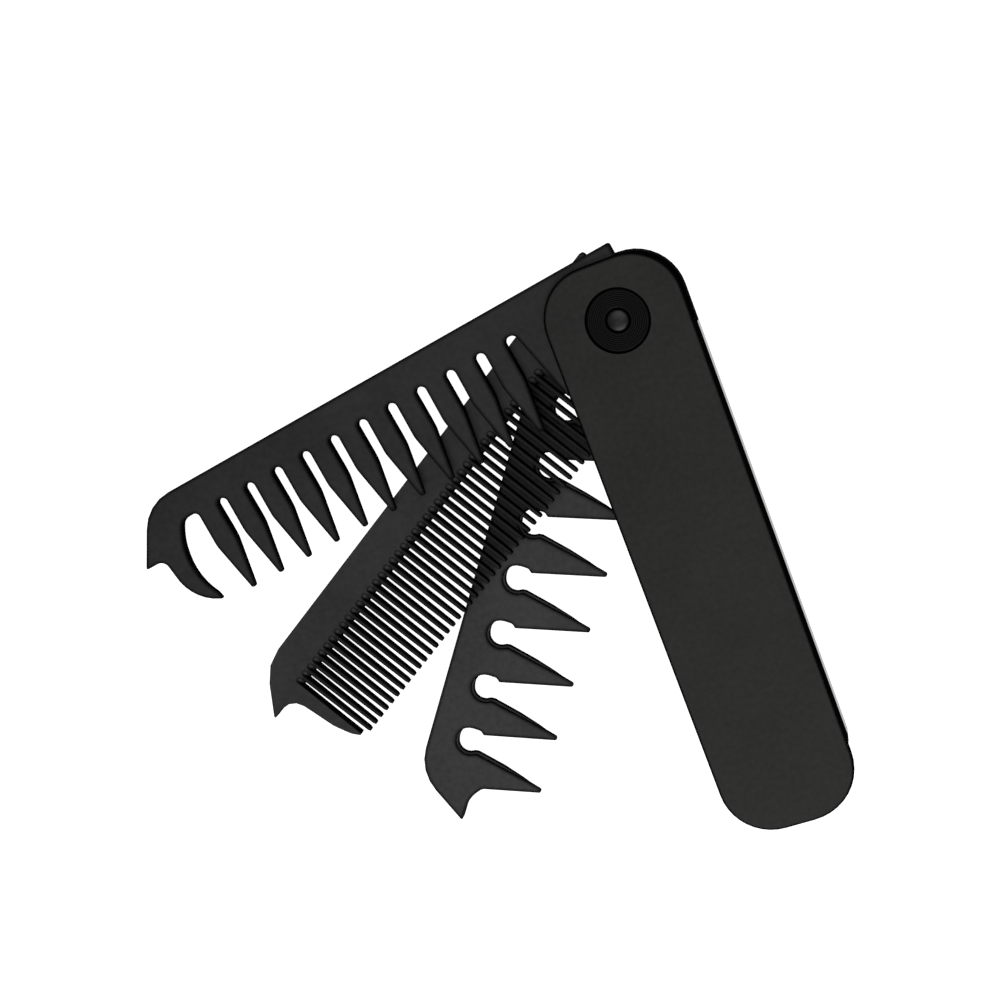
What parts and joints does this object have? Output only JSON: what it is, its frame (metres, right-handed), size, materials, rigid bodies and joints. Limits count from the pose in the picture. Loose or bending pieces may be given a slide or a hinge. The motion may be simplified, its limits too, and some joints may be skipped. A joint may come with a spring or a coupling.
{
  "type": "folding pocket comb",
  "caption": "Folding pocket comb: a wide-tooth, a fine-tooth and a keyhole parting blade fan out on one rivet between the two flat covers of a rounded handle.",
  "frame": {"origin": "on the rivet's axis, at the flat end of its back head, level with the back plate that the comb lies on", "axes": "+Z along the rivet's axis from the back plate to the front cover, -Y along the handle from the pivot to its free end, +X to the handle's closed side"},
  "size_m": [0.1774, 0.1726, 0.0144],
  "materials": {
    "handle_plastic": "matt black, finely grained moulded plastic",
    "blade_plastic": "satin black moulded plastic",
    "washer_plastic": "deep black with fine concentric ridges",
    "rivet_metal": "blackened, satin"
  },
  "bodies": {
    "handle": {"front_cover": "handle_plastic", "back_shell": "handle_plastic", "ridged_washer": "washer_plastic", "pivot_rivet": "rivet_metal"},
    "wide_blade": {"wide_comb": "blade_plastic"},
    "fine_blade": {"fine_comb": "blade_plastic"},
    "parting_blade": {"parting_comb": "blade_plastic"}
  },
  "joints": [
    {"name": "wide_hinge", "type": "hinge", "parent": "handle", "child": "wide_blade", "pos_m": [0, 0, 0.01065], "axis": [0, 0, 1], "range_deg": [-98.5, 81]},
    {"name": "fine_hinge", "type": "hinge", "parent": "handle", "child": "fine_blade", "pos_m": [0, 0, 0.0071], "axis": [0, 0, 1], "range_deg": [-121.5, 58]},
    {"name": "parting_hinge", "type": "hinge", "parent": "handle", "child": "parting_blade", "pos_m": [0, 0, 0.00355], "axis": [0, 0, 1], "range_deg": [-142.8, 36.6]}
  ]
}
